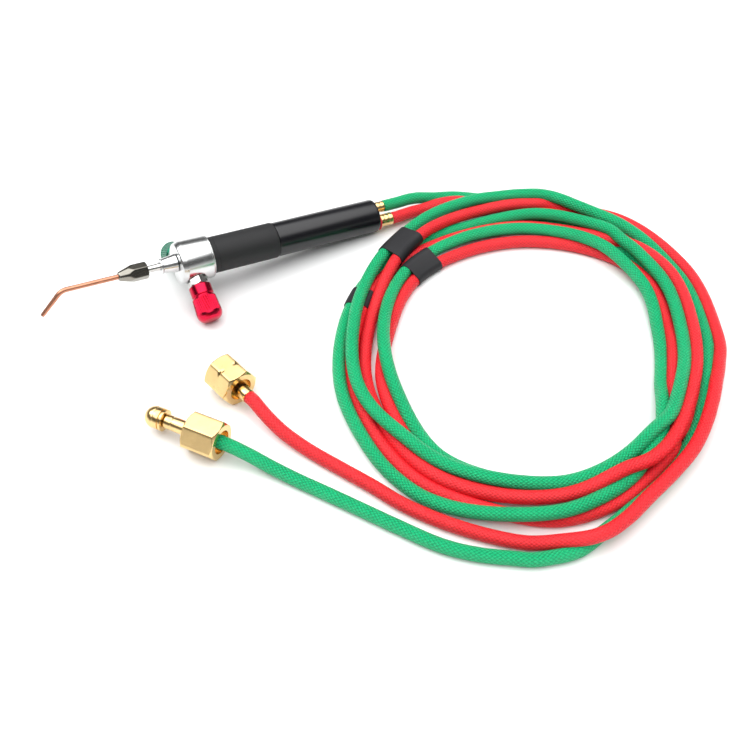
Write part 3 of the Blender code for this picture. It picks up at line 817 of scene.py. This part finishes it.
# Union nuts and their nipples.
for gas, low in (("fuel", 0.0), ("oxygen", 23.7)):
    high = low + NUT_LENGTH
    axis = ENDS[gas]
    notch = low + NUT_LENGTH / 2 if gas == "fuel" else None
    threads = []
    for i in range(NUT_THREADS):
        threads += [(low + 0.6 + i * THREAD_PITCH, 6.5), (low + 1.1 + i * THREAD_PITCH, 6.2)]
    nut = spun(gas + "_hex_nut", axis, [
        *run((low, 8.4), (low + 1.2, 10.2), 6), *run((low + 1.3, 10.2), (high - 1.3, 10.2), 24),
        *run((high - 1.2, 10.2), (high, 8.4), 6),
    ], [(low, 6.7), *threads, (low + 10.8, 6.5), (low + 10.8, 3.8), (low + 13.0, 3.8),
        (low + 13.0, 5.8), (high, 5.8)],
        form=hex_form(NUT_FLATS, notch), edge=0.02, crease=28)
    wear(nut, BRASS, gas + "_nut", gas + "_union_nut", gas + "_nut")
    ball = []
    for i in range(1, 13):
        turn = math.radians(7.5 * i)
        ball.append((5.3 - 5.3 * math.cos(turn), 5.3 * math.sin(turn)))
    nipple = spun(gas + "_round_nose", axis, [
        (0.115, 1.1), *ball, (5.6, 5.22), (5.9, 5.22), (6.1, 5.3), (8.6, 5.3), (8.7, 4.6),
        (9.3, 4.6), (9.4, 5.3), (10.4, 5.3), (10.5, 5.1), (10.5, 2.0), (22.9, 2.0),
    ], [(0.2, 1.05), (22.9, 1.05)], steps=72, edge=0.08)
    wear(nipple, BRASS, gas + "_nipple", ROOT, gas + "_nipple")
    ferrule = spun(gas + "_end_crimp", axis, [
        (10.9, 3.2), (11.3, 3.5), (14.0, 3.5), (14.3, 3.35), (14.9, 3.35), (15.2, 3.5), (22.8, 3.5),
        (23.2, 3.2),
    ], [(10.9, 2.4), (23.2, 2.4)], steps=48, edge=0.1)
    wear(ferrule, BRASS, gas + "_end_ferrule", ROOT, gas + "_end_ferrule")

# Inner pieces keep their CAD shapes.
INNER = {
    "mixer_insert": BRASS_DULL, "tip_collar": COPPER, "rear_plug": RUBBER,
    "oxygen_tube": COPPER, "fuel_tube": COPPER, "oxygen_barb": BRASS_DULL, "fuel_barb": BRASS_DULL,
}
for colour in VALVES:
    INNER[colour + "_valve_stem"] = STEEL
    INNER[colour + "_stem_o_ring"] = RUBBER
    INNER[colour + "_knob_screw"] = STEEL
for name, material in INNER.items():
    node = frame["nodes"][name]
    node.data.materials.clear()
    node.data.materials.append(material)


# Floor and light.
bpy.ops.mesh.primitive_plane_add(size=FLOOR_SIZE, location=FLOOR_MIDDLE)
floor = bpy.context.object
floor.name = "floor"
floor.data.materials.append(shader("white_floor", (0.9, 0.9, 0.9), 0.0, 0.7))


def make_softbox():
    light = bpy.data.lights.new("left_side", "AREA")
    light.shape = "RECTANGLE"
    light.size = light.size_y = SOFTBOX_SIZE
    light.energy = SOFTBOX_POWER
    obj = bpy.data.objects.new("left_side", light)
    bpy.context.scene.collection.objects.link(obj)
    obj.location = SOFTBOX_AT
    look_at(obj, SOFTBOX_TARGET)


make_softbox()


def make_world():
    """Studio with a bright ceiling, dark walls and a paler lower rim."""
    world = bpy.data.worlds.new("studio")
    bpy.context.scene.world = world
    world.use_nodes = True
    tree = world.node_tree
    background = tree.nodes["Background"]
    background.inputs["Strength"].default_value = WORLD_STRENGTH
    direction = tree.nodes.new("ShaderNodeTexCoord")
    split = tree.nodes.new("ShaderNodeSeparateXYZ")
    ramp = tree.nodes.new("ShaderNodeValToRGB")
    while len(ramp.color_ramp.elements) < len(WORLD_SHADES):
        ramp.color_ramp.elements.new(0.5)
    for element, (height, shade) in zip(ramp.color_ramp.elements, WORLD_SHADES):
        element.position = height
        element.color = (shade, shade, shade, 1.0)
    tree.links.new(direction.outputs["Generated"], split.inputs["Vector"])
    tree.links.new(split.outputs["Z"], ramp.inputs["Fac"])
    tree.links.new(ramp.outputs["Color"], background.inputs["Color"])


make_world()
bpy.context.scene.view_settings.view_transform = "Standard"
